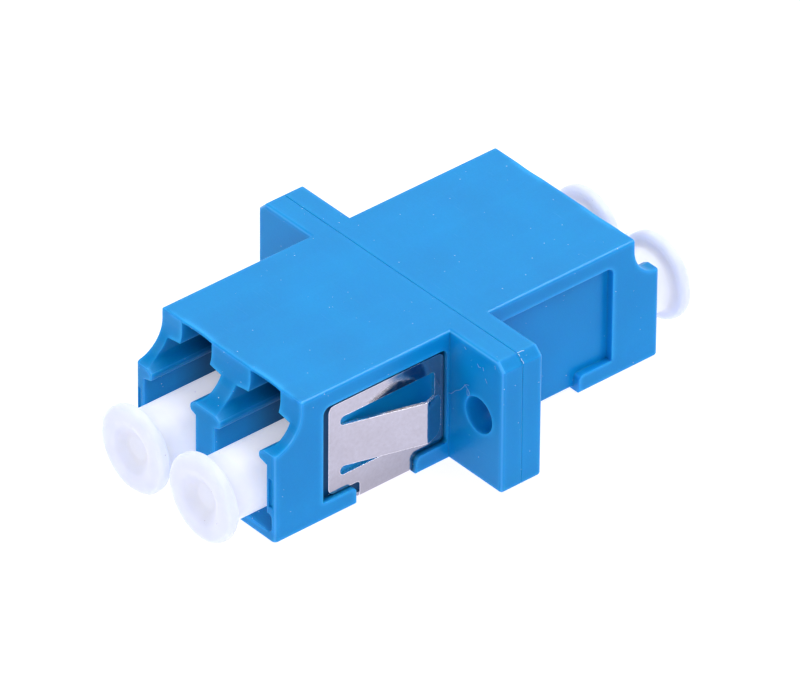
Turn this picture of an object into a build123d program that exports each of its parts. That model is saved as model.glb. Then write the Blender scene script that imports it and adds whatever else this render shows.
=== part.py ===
"""Duplex LC fibre adapter with a screw flange, a panel spring clip and four dust caps.

Millimetres. +X is to the right, +Y runs along the fibres to the rear, +Z is up on the latch side.
The origin is on the plane where the two housing halves meet, midway across, at the underside.
"""
import os
from math import acos, degrees

from build123d import *

# Housing: the outside of one moulded half
port_pitch = 6.25
body_width = 12.7
body_height = 9.2
upper_reach = 12.9  # parting plane to the set-back front above the ports
lip_reach = 14.9  # parting plane to the tips of the lower lips
scoop_radius = 2.2  # hollow between the set-back front and the lips
scoop_start = 8.4  # height where the hollow begins
edge_round = 0.2
front_round = 0.15
lip_corner_round = 0.3  # upright outer corners of the lips
lip_round = 0.1  # front edges of the ports and tops of the lips

# Flange: half of its thickness belongs to each half of the housing
flange_width = 22.2
flange_half_thickness = 1.55
flange_corner = 0.55
flange_foot_round = 0.25
flange_edge_round = 0.22
screw_pitch = 18.0
screw_hole_diameter = 2.4
seam_chamfer = 0.04

# Locating peg and socket on the face that is welded
peg_spacing = 15.0
peg_height = 1.7
peg_diameter = 1.0
peg_length = 0.7
peg_clearance = 0.05

# Port section: rises and drops are counted from the fibre's axis
port_axis = 2.88  # height of the fibre above the underside
web_reach = 2.0  # parting plane to the wall at the port's inner end
roof_thickness = 0.35
slot_width = 2.72
tooth_rise = 4.6  # underside of the latch tooth at the channel's wall
tooth_lift = 0.13  # how much higher it is at the slot
channel_width = 4.9
channel_rise = 3.47
channel_round = 0.45
ledge_gap = 3.48  # clear width between the two latch ledges
ledge_top_rise = 3.07
ledge_bottom_rise = 2.62
ledge_root_rise = 2.42
ledge_round = 0.28
inner_reach = 2.24  # axis to the port's wall beside the other port
outer_reach = 2.46  # axis to the port's wall on the outer side
main_drop = 2.18  # axis down to the port's floor
floor_round = 0.3

# Port mouth
mouth_depth = 2.6
mouth_inner_reach = 2.6  # axis to its walls, on either side
mouth_outer_reach = 2.95
mouth_height = 1.25
step_depth = 0.12
step_near = 2.68  # axis to the step's sides
step_far = 3.03
step_low = 0.43  # lower end, below the axis
step_high = 1.62  # upper end, above the axis
roof_scallop = 0.1
roof_lead_depth = 0.8
roof_lead_height = 0.2

# Barrel round the ferrules, with the split sleeve inside
barrel_diameter = 2.8
barrel_reach = 4.7
ferrule_opening = 1.4
ferrule_lead = 0.25
sleeve_bore = 1.25
sleeve_wall = 0.185
sleeve_length = 6.8
sleeve_slit = 0.25
sleeve_clearance = 0.04
sleeve_end_play = 0.05

# Recess for the clip in each side of a half, and the strap's channel underneath
recess_depth = 0.5
recess_front_margin = 1.7  # from the set-back front
recess_flange_margin = 0.15
recess_top_margin = 1.2
recess_foot_height = 1.2
recess_round = 0.5
recess_low_round = 0.2  # lower corner beside the flange
foot_round_front = 0.3
foot_round_back = 0.45
strap_gap_front = 8.65
strap_gap_back = 4.05

# Clip, folded from sheet
clip_thickness = 0.2
clip_fold_radius = 0.2
clip_strap_inset = 0.02
wing_front_gap = 0.65
wing_back_gap = 0.05
wing_top_gap = 0.39
wing_foot_gap = 0.1
wing_round = 0.45
strap_front_gap = 0.5
strap_back_gap = 0.05
strap_front_round = 0.25
strap_back_round = 0.5
bar_front = 1.2
bar_back = 0.68
bar_top = 1.09
bar_foot = 1.03
window_round = 0.25
tab_slot = 0.62
tab_root = 0.8  # length of the strip that lies in the wing
tab_rise = 1.5  # how far the tab's crest stands out of the wing
tab_end = 1.3  # length of the strip past the crest
tab_end_drop = 0.42
tab_bend = 0.6
tab_round = 0.6
panel_room = 1.35  # flange to the tab's tip

# Dust cap
cap_stand_out = 3.05  # lip tips to the cap's outer face
cap_disc_diameter = 5.72
cap_disc_thickness = 0.8
cap_rim_round = 0.3
cap_neck_round = 0.45
cap_stem_diameter = 4.16
cap_stem_lead = 0.2
cap_web_gap = 0.6
cap_bore_clearance = 0.05
cap_bore_depth = 7.0
cap_dimple_diameter = 3.4
cap_dimple_floor = 1.8
cap_dimple_depth = 0.55
cap_dimple_round = 0.8
gate_width = 0.7
gate_height = 0.2
gate_thickness = 0.4

# Sizes that follow from the ones above
port_places = (-port_pitch / 2, port_pitch / 2)
scoop_run = lip_reach - upper_reach
scoop_turn = degrees(acos((scoop_radius - scoop_run) / scoop_radius))
slot_top = body_height - roof_thickness
port_floor = port_axis - main_drop
scallop_radius = ((slot_width / 2) ** 2 + roof_scallop**2) / (2 * roof_scallop)
sleeve_diameter = sleeve_bore + 2 * sleeve_wall
recess_front = upper_reach - recess_front_margin
recess_back = flange_half_thickness + recess_flange_margin
recess_top = body_height - recess_top_margin
core_width = body_width - 2 * recess_depth
strap_roof = clip_strap_inset + clip_thickness
wing_front = recess_front - wing_front_gap
wing_back = recess_back + wing_back_gap
wing_top = recess_top - wing_top_gap
wing_foot = recess_foot_height + wing_foot_gap
wing_middle = (core_width + clip_thickness) / 2
strap_front = strap_gap_front - strap_front_gap
strap_back = strap_gap_back + strap_back_gap
window_front = wing_front - bar_front
window_back = wing_back + bar_back
window_top = wing_top - bar_top
window_foot = wing_foot + bar_foot
tab_tip = flange_half_thickness + panel_room
tab_crest = tab_tip + tab_end
cap_inner_end = web_reach + cap_web_gap
cap_length = lip_reach + cap_stand_out - cap_inner_end


def round_corner(sketch, corner, radius):
    """Rounds the corner of a sketch that lies nearest to a point."""
    fillet(sketch.vertices().sort_by_distance(corner)[0], radius)


# Section of the right port about its axis, seen along the fibre: x across, y above the underside
upper_corners = [
    (slot_width / 2, slot_top),
    (slot_width / 2, port_axis + tooth_rise + tooth_lift),
    (channel_width / 2, port_axis + tooth_rise),
    (channel_width / 2, port_axis + channel_rise),
    (ledge_gap / 2, port_axis + ledge_top_rise),
    (ledge_gap / 2, port_axis + ledge_bottom_rise),
]
with BuildSketch() as port_section:
    with BuildLine():
        Polyline(
            *upper_corners,
            (outer_reach, port_axis + ledge_root_rise),
            (outer_reach, port_floor),
            (-inner_reach, port_floor),
            (-inner_reach, port_axis + ledge_root_rise),
            *[(-x, y) for x, y in reversed(upper_corners)],
            close=True,
        )
    make_face()
    for hand in (1, -1):
        round_corner(port_section, (hand * channel_width / 2, port_axis + channel_rise), channel_round)
        round_corner(port_section, (hand * ledge_gap / 2, port_axis + ledge_top_rise), ledge_round)
        round_corner(port_section, (hand * ledge_gap / 2, port_axis + ledge_bottom_rise), ledge_round)
    round_corner(port_section, (outer_reach, port_floor), floor_round)
    round_corner(port_section, (-inner_reach, port_floor), floor_round)

# Flange plate of one half, with its upper corners cut off and its outer edge rounded
with BuildPart() as flange_half:
    with BuildSketch(Plane.XZ) as flange_outline:
        with Locations((0, body_height / 2)):
            Rectangle(flange_width, body_height)
        chamfer(flange_outline.vertices().group_by(Axis.Y)[-1], flange_corner)
        fillet(flange_outline.vertices().group_by(Axis.Y)[0], flange_foot_round)
    extrude(amount=flange_half_thickness)
    fillet(flange_half.faces().sort_by(Axis.Y)[0].edges(), flange_edge_round)
    chamfer(flange_half.faces().sort_by(Axis.Y)[-1].edges(), seam_chamfer)

# One moulded half, as the front half stands: its ports open towards -Y
with BuildPart() as housing_half:
    # Side view of the body: a set-back front hollowed down to the lower lips
    with BuildSketch(Plane.YZ):
        with BuildLine():
            upright = Line((-upper_reach, body_height), (-upper_reach, scoop_start))
            scoop = JernArc(upright @ 1, (0, -1), scoop_radius, -scoop_turn)
            Polyline(scoop @ 1, (-lip_reach, 0), (-seam_chamfer, 0))
            Polyline((-seam_chamfer, 0), (-seam_chamfer, body_height), upright @ 0)
        make_face()
    extrude(amount=body_width / 2, both=True)
    fillet(housing_half.edges().filter_by(Axis.Z).group_by(Axis.Y)[0], lip_corner_round)
    fillet(housing_half.edges().filter_by(Axis.X).group_by(Axis.Z)[0].sort_by(Axis.Y)[0], front_round)
    fillet(housing_half.edges().filter_by(Axis.Y), edge_round)
    add(flange_half.part)

    # Latch slot, wing channel, ledges and the square for the plug's body
    with BuildSketch(Plane.XZ.offset(web_reach)):
        with Locations((port_pitch / 2, 0)):
            add(port_section.sketch)
        mirror(about=Plane.YZ)
    extrude(amount=lip_reach - web_reach, mode=Mode.SUBTRACT)
    # Round the lips' front edges, apart from the outer uprights and the foot, which are rounded already
    lip_face = housing_half.faces().filter_by(Axis.Y).sort_by(Axis.Y)[0]
    lip_edges = lip_face.edges().sort_by(lambda edge: abs(edge.center().X))[:-2].sort_by(Axis.Z)[1:]
    fillet(lip_edges, lip_round)

    # Wider mouth low down between the lips, and a shallow step in the front of each outer wall above it
    mouth_middle = (port_pitch + mouth_outer_reach - mouth_inner_reach) / 2
    with BuildSketch(Plane.XZ.offset(lip_reach - mouth_depth)):
        with Locations((mouth_middle, port_floor + mouth_height / 2)):
            RectangleRounded(mouth_inner_reach + mouth_outer_reach, mouth_height, floor_round)
        mirror(about=Plane.YZ)
    extrude(amount=mouth_depth, mode=Mode.SUBTRACT)
    with BuildSketch(Plane.XZ.offset(lip_reach - step_depth)):
        with Locations(((port_pitch + step_near + step_far) / 2, port_axis + (step_high - step_low) / 2)):
            Rectangle(step_far - step_near, step_high + step_low)
        mirror(about=Plane.YZ)
    extrude(amount=step_depth, mode=Mode.SUBTRACT)

    # Scalloped front of the roof over each latch slot, thinned from below
    with BuildSketch(Plane.XY.offset(slot_top - roof_lead_height)):
        with Locations(*[(x, roof_scallop - upper_reach - scallop_radius) for x in port_places]):
            Circle(scallop_radius)
    extrude(amount=2 * roof_thickness + roof_lead_height, mode=Mode.SUBTRACT)
    for port_place in port_places:
        with BuildSketch(Plane.YZ.offset(port_place)):
            with BuildLine():
                Polyline(
                    (-upper_reach, slot_top),
                    (-upper_reach, slot_top + roof_lead_height),
                    (-upper_reach + roof_lead_depth, slot_top),
                    close=True,
                )
            make_face()
        extrude(amount=slot_width / 2, both=True, mode=Mode.SUBTRACT)

    # Barrel in each port, bored for the sleeve's seat and for the ferrule
    with BuildSketch(Plane.XZ):
        with Locations(*[(x, port_axis) for x in port_places]):
            Circle(barrel_diameter / 2)
    extrude(amount=barrel_reach)
    with BuildSketch(Plane.XZ):
        with Locations(*[(x, port_axis) for x in port_places]):
            Circle(sleeve_diameter / 2 + sleeve_clearance)
    extrude(amount=sleeve_length / 2 + sleeve_end_play, mode=Mode.SUBTRACT)
    with BuildSketch(Plane.XZ):
        with Locations(*[(x, port_axis) for x in port_places]):
            Circle(ferrule_opening / 2)
    extrude(amount=barrel_reach, mode=Mode.SUBTRACT)
    tips = housing_half.edges().filter_by(GeomType.CIRCLE).filter_by_position(
        Axis.Y, -barrel_reach - ferrule_lead, -barrel_reach + ferrule_lead
    )
    chamfer(tips.sort_by(SortBy.RADIUS)[: len(port_places)], ferrule_lead)

    # Recess in each side, open at the foot for the strap
    for side in (1, -1):
        with BuildSketch(Plane.YZ.offset(side * core_width / 2)) as recess:
            with Locations((-(recess_front + recess_back) / 2, (recess_top + recess_foot_height) / 2)):
                Rectangle(recess_front - recess_back, recess_top - recess_foot_height)
            with Locations((-(strap_gap_front + strap_gap_back) / 2, recess_foot_height / 2)):
                Rectangle(strap_gap_front - strap_gap_back, recess_foot_height)
            fillet(recess.vertices().group_by(Axis.Y)[-1], recess_round)
            for corner, corner_round in (
                ((-recess_back, recess_foot_height), recess_low_round),
                ((-strap_gap_back, recess_foot_height), foot_round_back),
                ((-strap_gap_front, recess_foot_height), foot_round_front),
            ):
                round_corner(recess, corner, corner_round)
        extrude(amount=side * recess_depth, mode=Mode.SUBTRACT)

    # Channel for the strap under the body, rounded where the strap folds up
    with BuildSketch(Plane.XZ.offset(strap_gap_back)):
        with Locations((0, recess_foot_height / 2)):
            Rectangle(body_width, recess_foot_height)
        with Locations((0, strap_roof + recess_foot_height)):
            RectangleRounded(core_width, 2 * recess_foot_height, clip_fold_radius, mode=Mode.SUBTRACT)
    extrude(amount=strap_gap_front - strap_gap_back, mode=Mode.SUBTRACT)

    # Screw holes, and the locating socket and peg of the welded face
    with BuildSketch(Plane.XZ):
        with Locations((-screw_pitch / 2, body_height / 2), (screw_pitch / 2, body_height / 2)):
            Circle(screw_hole_diameter / 2)
    extrude(amount=flange_half_thickness, mode=Mode.SUBTRACT)
    with BuildSketch(Plane.XZ):
        with Locations((-peg_spacing / 2, peg_height)):
            Circle(peg_diameter / 2 + peg_clearance)
    extrude(amount=peg_length + peg_clearance, mode=Mode.SUBTRACT)
    with BuildSketch(Plane.XZ):
        with Locations((peg_spacing / 2, peg_height)):
            Circle(peg_diameter / 2)
    extrude(amount=-peg_length)

# The two halves are one moulding, the rear one turned half a turn about the vertical
with BuildPart() as housing_front:
    add(housing_half.part)

with BuildPart() as housing_rear:
    add(housing_half.part, rotation=(0, 0, 180))

# Split sleeve: a thin ceramic tube with one slit along its top
with BuildPart() as split_sleeve:
    with BuildSketch(Plane.XZ):
        Circle(sleeve_diameter / 2)
        Circle(sleeve_bore / 2, mode=Mode.SUBTRACT)
        with Locations((0, sleeve_diameter / 2)):
            Rectangle(sleeve_slit, sleeve_diameter, mode=Mode.SUBTRACT)
    extrude(amount=sleeve_length / 2, both=True)

# One tab of the clip: a strip that rises out of the wing and bends back at its crest
with BuildPart() as tab:
    with BuildSketch(Plane.XY.offset(window_foot + tab_slot)):
        with BuildLine():
            FilletPolyline(
                (wing_middle, -window_front - tab_root),
                (wing_middle, -window_front),
                (wing_middle + tab_rise, -tab_crest),
                (wing_middle + tab_rise - tab_end_drop, -tab_tip),
                radius=tab_bend,
            )
        trace(line_width=clip_thickness)
    extrude(amount=window_top - window_foot - 2 * tab_slot)
    tip_edges = tab.faces().sort_by(Axis.Y)[-1].edges().sort_by(SortBy.LENGTH)[:2]
    fillet(tip_edges, tab_round)

# Clip: a wing on each side of the front half, joined by the strap underneath
with BuildPart() as panel_clip:
    with BuildSketch(Plane.XZ.offset(wing_back)):
        with BuildLine():
            FilletPolyline(
                (-wing_middle, wing_top),
                (-wing_middle, clip_strap_inset + clip_thickness / 2),
                (wing_middle, clip_strap_inset + clip_thickness / 2),
                (wing_middle, wing_top),
                radius=clip_fold_radius + clip_thickness / 2,
            )
        trace(line_width=clip_thickness)
    extrude(amount=wing_front - wing_back)
    with BuildSketch(Plane.YZ) as side_view:
        with Locations((-(wing_front + wing_back) / 2, (wing_top + wing_foot) / 2)):
            Rectangle(wing_front - wing_back, wing_top - wing_foot)
        with Locations((-(strap_front + strap_back) / 2, wing_foot / 2)):
            Rectangle(strap_front - strap_back, wing_foot)
        for corner, corner_round in (
            ((-wing_front, wing_top), wing_round),
            ((-wing_back, wing_top), wing_round),
            ((-wing_back, wing_foot), wing_round),
            ((-wing_front, wing_foot), wing_round),
            ((-strap_front, wing_foot), strap_front_round),
            ((-strap_back, wing_foot), strap_back_round),
        ):
            round_corner(side_view, corner, corner_round)
    extrude(amount=body_width, both=True, mode=Mode.INTERSECT)
    with BuildSketch(Plane.YZ) as window:
        with Locations((-(window_front + window_back) / 2, (window_top + window_foot) / 2)):
            Rectangle(window_front - window_back, window_top - window_foot)
        fillet(window.vertices().group_by(Axis.X)[-1], window_round)
        with Locations(
            (-window_front, window_foot + tab_slot / 2), (-window_front, window_top - tab_slot / 2)
        ):
            Circle(tab_slot / 2)
    extrude(amount=body_width, both=True, mode=Mode.SUBTRACT)
    add(tab.part)
    mirror(tab.part, about=Plane.YZ)

# Dust cap standing on its inner end: a hollow stem, a round neck and a dished disc
with BuildPart() as dust_cap:
    with BuildSketch(Plane.XZ) as half_section:
        with BuildLine():
            Polyline(
                (0, cap_bore_depth),
                (barrel_diameter / 2 + cap_bore_clearance, cap_bore_depth),
                (barrel_diameter / 2 + cap_bore_clearance, 0),
                (cap_stem_diameter / 2, 0),
                (cap_stem_diameter / 2, cap_length - cap_disc_thickness),
                (cap_disc_diameter / 2, cap_length - cap_disc_thickness),
                (cap_disc_diameter / 2, cap_length),
                (cap_dimple_diameter / 2, cap_length),
                (cap_dimple_floor / 2, cap_length - cap_dimple_depth),
                (0, cap_length - cap_dimple_depth),
                close=True,
            )
        make_face()
        chamfer(half_section.vertices().sort_by_distance((cap_stem_diameter / 2, 0))[0], cap_stem_lead)
        for corner, corner_round in (
            ((cap_stem_diameter / 2, cap_length - cap_disc_thickness), cap_neck_round),
            ((cap_disc_diameter / 2, cap_length - cap_disc_thickness), cap_rim_round),
            ((cap_disc_diameter / 2, cap_length), cap_rim_round),
            ((cap_dimple_diameter / 2, cap_length), cap_dimple_round),
            ((cap_dimple_floor / 2, cap_length - cap_dimple_depth), cap_dimple_round),
        ):
            round_corner(half_section, corner, corner_round)
    revolve(axis=Axis.Z)
    # Stub left on the rim where the moulding gate was broken off
    with Locations((cap_disc_diameter / 2, 0, cap_length - cap_disc_thickness / 2)):
        Box(2 * gate_height, gate_width, gate_thickness)

# Each cap with its place, the way it points and how far it is turned about its own axis
cap_places = {
    "front_left": (-port_pitch / 2, -1, 170),
    "front_right": (port_pitch / 2, -1, 200),
    "rear_left": (-port_pitch / 2, 1, 35),
    "rear_right": (port_pitch / 2, 1, 150),
}

nodes = {
    "housing_front": housing_front,
    "housing_rear": housing_rear,
    "panel_clip": panel_clip,
}
for side, place in (("left", port_places[0]), ("right", port_places[1])):
    with BuildPart() as sleeve:
        with Locations((place, 0, port_axis)):
            add(split_sleeve.part)
    nodes[f"alignment_sleeve_{side}"] = sleeve

for name, (place, facing, turn) in cap_places.items():
    with BuildPart() as cap:
        with Locations(Location((place, facing * cap_inner_end, port_axis), (-90 * facing, 0, turn))):
            add(dust_cap.part)
    nodes[f"dust_cap_{name}"] = cap

os.makedirs("parts", exist_ok=True)
for name, node in nodes.items():
    node.part.label = name
    export_step(node.part, f"parts/{name}.step")
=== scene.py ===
"""Looks of a duplex fibre adapter: blue moulded housing, folded steel clip and four milky dust caps.

Metres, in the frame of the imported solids: +X to the right, +Y along the fibres to the rear, +Z up.
Sizes are written in millimetres and turned to metres by MM.
"""
import math

import bmesh
import bpy
from mathutils import Matrix, Vector


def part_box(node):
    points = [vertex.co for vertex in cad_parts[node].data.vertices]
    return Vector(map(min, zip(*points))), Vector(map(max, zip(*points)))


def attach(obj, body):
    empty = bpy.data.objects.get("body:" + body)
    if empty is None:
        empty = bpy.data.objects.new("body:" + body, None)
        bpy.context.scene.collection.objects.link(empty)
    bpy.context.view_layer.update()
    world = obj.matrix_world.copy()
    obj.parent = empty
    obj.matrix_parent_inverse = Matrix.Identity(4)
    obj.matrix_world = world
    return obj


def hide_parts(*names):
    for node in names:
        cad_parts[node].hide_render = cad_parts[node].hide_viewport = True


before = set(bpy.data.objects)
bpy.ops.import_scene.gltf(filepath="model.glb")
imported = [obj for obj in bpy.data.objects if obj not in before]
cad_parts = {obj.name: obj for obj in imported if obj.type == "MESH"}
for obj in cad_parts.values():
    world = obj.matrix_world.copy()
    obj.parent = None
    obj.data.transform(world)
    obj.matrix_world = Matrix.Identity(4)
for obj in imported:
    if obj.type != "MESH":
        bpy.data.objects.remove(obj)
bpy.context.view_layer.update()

MM = 0.001

# Sizes that the pieces made here share with the solids, in millimetres
AXIS_HEIGHT = 2.88
PORT_PITCH = 6.25
BODY_WIDTH = 12.7
PORT_FRONT = 12.9
PORTS_HALF_WIDTH = 5.6
PORTS_FLOOR = 0.7
PORTS_ROOF = 8.85
RECESS_DEPTH = 0.5
RECESS_TOP = 8.0
RECESS_FRONT = 11.2
FLANGE_HALF_THICKNESS = 1.55
CAP_INNER_END = 2.6
CAP_BORE_RADIUS = 1.45
CAP_BORE_DEPTH = 7.0
CAP_STEM_RADIUS = 2.08
CAP_STEM_LEAD = 0.2
CAP_NECK_ROUND = 0.45
CAP_DISC_RADIUS = 2.86
CAP_DISC_THICKNESS = 0.8
CAP_RIM_ROUND = 0.3
CAP_DIMPLE_RADIUS = 1.7
CAP_DIMPLE_FLOOR_RADIUS = 0.9
CAP_DIMPLE_DEPTH = 0.55
CAP_DIMPLE_ROUND = 0.8

# What only the scene gives the caps, in millimetres: an uneven rim, and the stub of the broken-off gate
CAP_RIM_WAVER = 0.11
CAP_WAVER_SPACING = 1.3
CAP_GATE_REACH = 0.34
CAP_GATE_WIDTH = 0.7
CAP_GATE_THICKNESS = 0.4
CAP_GATE_ROUND = 0.06

# Shares of the gate's reach on its torn side, and of its width at its outer end
CAP_GATE_TORN_SIDE = 0.75
CAP_GATE_TAPER = 0.5

# Where each cap's gate points, in degrees about the cap's axis; also the seed of its rim and specks
CAP_TURNS = {"front_left": 170, "front_right": 200, "rear_left": 35, "rear_right": 210}

# Stray lint on the flange's front face, a fibre with a loop and short bits: across, height, and distance off
LINT_PATHS = (
    (
        (6.25, 4.62, 0.02),
        (6.6, 4.7, 0.05),
        (7.0, 5.2, 0.08),
        (7.4, 5.42, 0.06),
        (7.62, 5.75, 0.04),
        (7.9, 6.1, 0.03),
    ),
    ((7.72, 5.95, 0.03), (7.98, 6.15, 0.05), (8.22, 6.2, 0.08)),
    (
        (7.8, 6.0, 0.03),
        (8.0, 5.86, 0.05),
        (8.24, 5.74, 0.07),
        (8.2, 5.42, 0.06),
        (7.96, 5.42, 0.05),
        (7.98, 5.76, 0.04),
    ),
    ((8.86, 8.1, 0.02), (8.93, 7.97, 0.03), (9.08, 7.92, 0.03), (9.14, 7.98, 0.02)),
    ((9.34, 8.1, 0.02), (9.42, 8.0, 0.03), (9.4, 7.88, 0.02)),
    ((9.55, 7.4, 0.02), (9.66, 7.3, 0.03), (9.72, 7.16, 0.02)),
    ((10.38, 8.78, 0.02), (10.46, 8.7, 0.03), (10.44, 8.56, 0.02)),
    ((7.7, 8.68, 0.02), (7.8, 8.64, 0.03), (7.84, 8.56, 0.02)),
)
LINT_LIFT = 0.12
LINT_RADIUS = 0.013
LINT_WAVER = 0.05

# Flash torn at the seam on the flange's corner: points across, along and up
FLASH_PATHS = (
    ((10.54, 0.02, 9.19), (10.56, 0.18, 9.2), (10.55, 0.34, 9.2), (10.6, 0.5, 9.17)),
    ((10.85, 0.05, 8.96), (10.93, 0.04, 8.88), (11.03, 0.07, 8.78), (11.1, 0.05, 8.7)),
    ((10.62, 0.02, 9.15), (10.68, 0.08, 9.09), (10.72, 0.05, 9.03)),
)
FLASH_RADIUS = 0.02
FLASH_WAVER = 0.06

# Mark on the housing's faces that are part of an outward round under the widest radius
ROUND_MARK = "outer_round"
WIDEST_ROUND = 0.5

# How far the painted highlight on the housing's edges reaches, and how wide the seam between the halves is
# drawn
EDGE_REACH = 0.75
CORNER_REACH = 0.9
RECESS_REACH = 0.5
SEAM_REACH = 0.8
SEAM_HALF_WIDTH = 0.06

# How strong the painted highlight on edges is: the cosine of the turn at which it is full, and shares of the
# paler colour
EDGE_TURN = 0.72
CREST_HIGHLIGHT_SHARE = 0.55
SEAM_PAINTED_LIGHT_SHARE = 0.45

# The painted shade in the ports begins and is full this far behind the port's front
PORT_SHADE_START = 0.3
PORT_SHADE_FULL = 2.8
PORT_SHADE_SHARE = 0.7

# The painted shade in the gap round the clip begins and is full this far above the recess's floor
GAP_SHADE_START = 0.4
GAP_SHADE_FULL = 0.1
GAP_SHADE_SHARE = 0.8

# How much of their pale colour the scuffs show
SCUFF_SHARE = 0.08

# Slack on the planes that bound the ports and the recess, so that their walls lie inside
SLACK = 0.05
ROOF_SLACK = 0.02
FLOOR_SLACK = 0.2

# Box that holds the window and the tab of either wing, where shearing left a burr
BURR_LOW_CORNER = (-9.0, -9.9, 1.9)
BURR_HIGH_CORNER = (9.0, -2.2, 6.75)

# The burr sits on edges that turn by more than this angle, in radians, and its grains are stretched this much
BURR_EDGE_ANGLE = 1.2
BURR_STRETCH = 2.2

# Strength of the caps' glow deep in the port, in the stem and in the disc, and how far from the seam each is
PORT_GLOW = 0.3
STEM_GLOW = 0.57
DISC_GLOW = 0.37
DEEP_IN_PORT = 4.0
STEM_START = 15.0
STEM_END = 15.6
DISC_START = 17.0

# Cut faces of the clip's wings, which get a painted highlight, lie over the strap and face along the wing's
# plane by more than this share
STRAP_TOP = 0.6
CUT_FACING = 0.8

# A painted shade on the wings, darker towards the bottom: strongest low down and gone at the upper height
LOW_SHADE_SHARE = 0.35
LOW_SHADE_BOTTOM = 0.9
LOW_SHADE_TOP = 3.2

# Points of a mesh that lie closer than this are one point
SAME_POINT = 0.0005

# The picture's view
CAMERA_AZIMUTH = 49.29
CAMERA_ELEVATION = 35.43
CAMERA_ROLL = 0.45
CAMERA_DISTANCE = 708.0
CAMERA_AIM = (-1.267, 1.175, 2.427)
CAMERA_LENS = 537.7

# The studio, in metres: a floor just under the part, and square softboxes that face the part from a direction
FLOOR_SIZE = 3
FLOOR_HEIGHT = -0.00001
SOFTBOXES = {
    "overhead_softbox": {"direction": (0.25, 0.42, 0.87), "distance": 0.8, "width": 0.55, "radiance": 4.9},
    "back_left_softbox": {"direction": (-0.62, 0.53, 0.58), "distance": 0.8, "width": 0.5, "radiance": 1.3},
    "front_left_softbox": {"direction": (-0.35, -0.7, 0.62), "distance": 0.9, "width": 0.7, "radiance": 1.8},
    "camera_side_softbox": {"direction": (0.66, -0.5, 0.56), "distance": 1.1, "width": 0.5, "radiance": 3.6},
}


def linear(hex_colour):
    """An sRGB hex colour as linear red, green, blue and alpha."""
    channels = [int(hex_colour[i : i + 2], 16) / 255 for i in (1, 3, 5)]
    return (*[c / 12.92 if c <= 0.04045 else ((c + 0.055) / 1.055) ** 2.4 for c in channels], 1.0)


def add_node(tree, kind, inputs=None, **settings):
    """Adds a node with its settings; inputs gives a socket a value, or a link from another node's output."""
    node = tree.nodes.new(kind)
    for name, value in settings.items():
        setattr(node, name, value)
    for socket, value in (inputs or {}).items():
        if isinstance(value, bpy.types.NodeSocket):
            tree.links.new(value, node.inputs[socket])
        else:
            node.inputs[socket].default_value = value
    return node


def scale_of(spacing):
    """The scale of a noise whose features lie that many millimetres apart."""
    return 1 / (spacing * MM)


def new_material(name):
    """An empty node material and its tree."""
    material = bpy.data.materials.new(name)
    material.use_nodes = True
    material.node_tree.nodes.clear()
    return material, material.node_tree


def finish_material(tree, shader):
    """Joins the shader to the material's output."""
    add_node(tree, "ShaderNodeOutputMaterial", {"Surface": shader.outputs[0]})


def edge_share(tree, radius, turn):
    """A value from 0 on flat faces to 1 beside edges, from how far a rounded normal leaves the surface's own.

    The radius is in millimetres, and turn is the cosine at which the value reaches 1.
    """
    rounded = add_node(tree, "ShaderNodeBevel", {"Radius": radius * MM}, samples=8)
    flat = add_node(tree, "ShaderNodeNewGeometry").outputs["Normal"]
    alike = add_node(tree, "ShaderNodeVectorMath", {0: rounded.outputs[0], 1: flat}, operation="DOT_PRODUCT")
    share = add_node(
        tree,
        "ShaderNodeMapRange",
        {"Value": alike.outputs["Value"], "From Min": 1.0, "From Max": turn, "To Min": 0.0, "To Max": 1.0},
    )
    return share.outputs[0]


def away_from(tree, coordinate, plane, reach):
    """0 at a plane and at its mirror image, rising to 1 a reach away from them, in millimetres."""
    size = add_node(tree, "ShaderNodeMath", {0: coordinate}, operation="ABSOLUTE")
    off = add_node(tree, "ShaderNodeMath", {0: size.outputs[0], 1: plane * MM}, operation="SUBTRACT")
    gap = add_node(tree, "ShaderNodeMath", {0: off.outputs[0]}, operation="ABSOLUTE")
    share = add_node(
        tree, "ShaderNodeMapRange", {"Value": gap.outputs[0], "From Min": 0.0, "From Max": reach * MM}
    )
    return share.outputs[0]


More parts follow.
